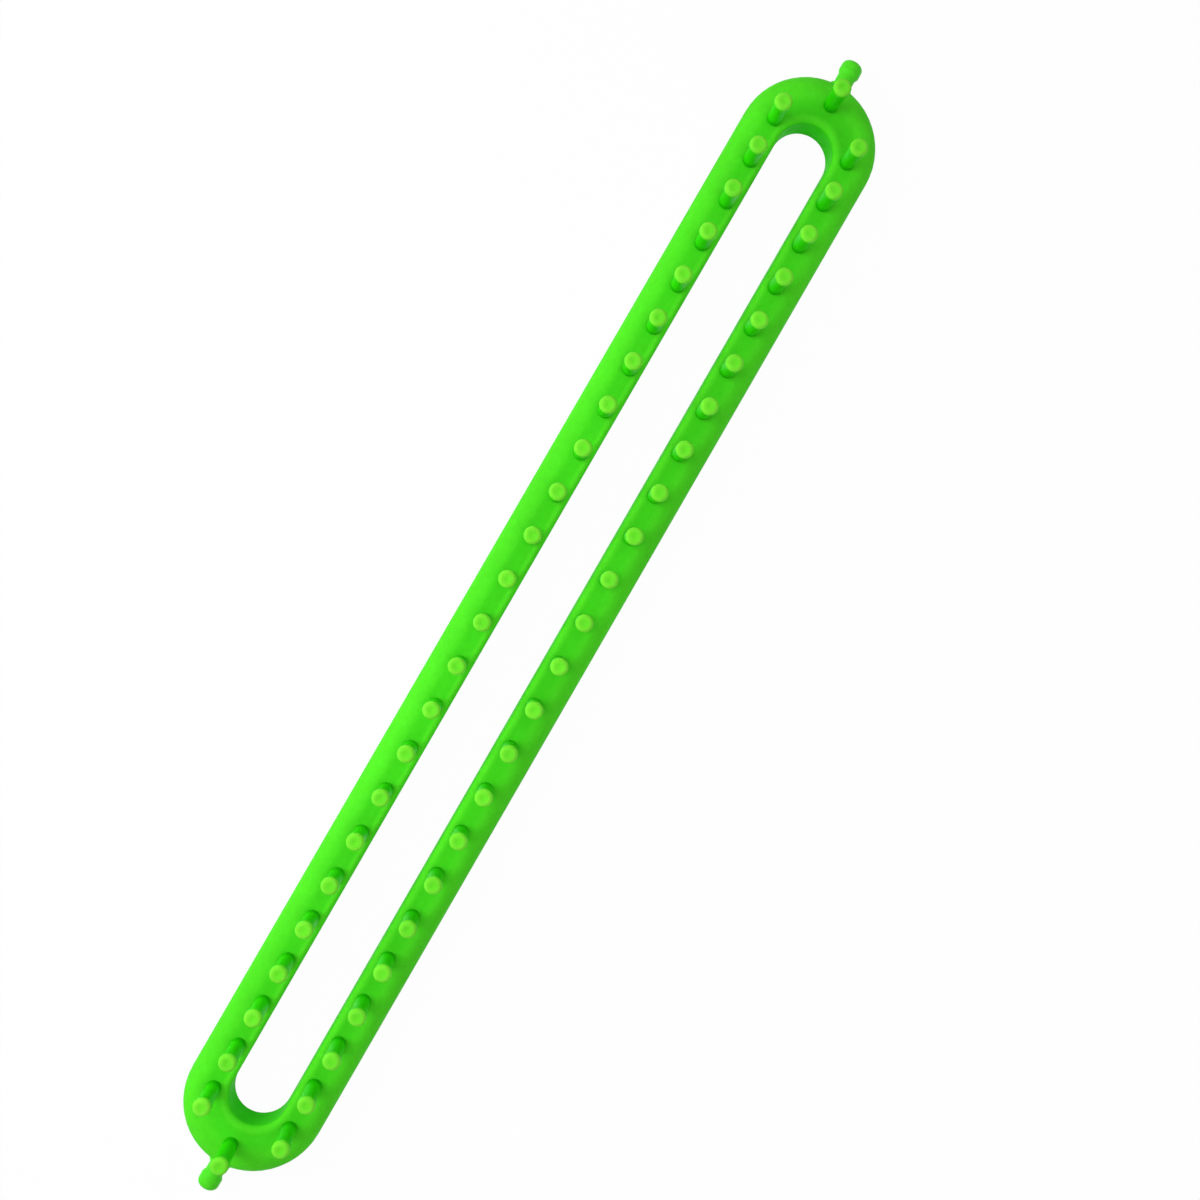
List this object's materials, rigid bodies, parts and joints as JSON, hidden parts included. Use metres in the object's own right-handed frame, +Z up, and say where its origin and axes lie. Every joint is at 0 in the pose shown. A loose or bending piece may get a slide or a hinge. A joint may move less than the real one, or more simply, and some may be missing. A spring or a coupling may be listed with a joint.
{
  "type": "long knitting loom",
  "caption": "Long flat knitting loom: slotted moulded frame with rows of upright pegs beside the slot, a peg at each end and an outward anchor peg at each end, for knitting by hand with a hook",
  "frame": {"origin": "on the table under the middle of the frame, in the plane of the frame's underside", "axes": "+X along the loom towards its right end, +Y across the bars towards the back row, +Z up along the pegs"},
  "size_m": [0.459, 0.0506, 0.0295],
  "materials": {
    "frame_green": "satin to semi-gloss injection moulding, lime green",
    "peg_green": "smooth semi-gloss injection moulding, slightly yellower lime green",
    "anchor_green": "smooth semi-gloss injection moulding, lime green"
  },
  "bodies": {
    "root": {"frame": "frame_green", "front_peg_01": "peg_green", "front_peg_02": "peg_green", "front_peg_03": "peg_green", "front_peg_04": "peg_green", "front_peg_05": "peg_green", "front_peg_06": "peg_green", "front_peg_07": "peg_green", "front_peg_08": "peg_green", "front_peg_09": "peg_green", "front_peg_10": "peg_green", "front_peg_11": "peg_green", "front_peg_12": "peg_green", "front_peg_13": "peg_green", "front_peg_14": "peg_green", "front_peg_15": "peg_green", "front_peg_16": "peg_green", "front_peg_17": "peg_green", "front_peg_18": "peg_green", "front_peg_19": "peg_green", "front_peg_20": "peg_green", "front_peg_21": "peg_green", "front_peg_22": "peg_green", "front_peg_23": "peg_green", "front_peg_24": "peg_green", "back_peg_01": "peg_green", "back_peg_02": "peg_green", "back_peg_03": "peg_green", "back_peg_04": "peg_green", "back_peg_05": "peg_green", "back_peg_06": "peg_green", "back_peg_07": "peg_green", "back_peg_08": "peg_green", "back_peg_09": "peg_green", "back_peg_10": "peg_green", "back_peg_11": "peg_green", "back_peg_12": "peg_green", "back_peg_13": "peg_green", "back_peg_14": "peg_green", "back_peg_15": "peg_green", "back_peg_16": "peg_green", "back_peg_17": "peg_green", "back_peg_18": "peg_green", "back_peg_19": "peg_green", "back_peg_20": "peg_green", "back_peg_21": "peg_green", "back_peg_22": "peg_green", "back_peg_23": "peg_green", "back_peg_24": "peg_green", "left_end_peg": "peg_green", "right_end_peg": "peg_green", "left_anchor_peg": "anchor_green", "right_anchor_peg": "anchor_green"}
  },
  "joints": []
}
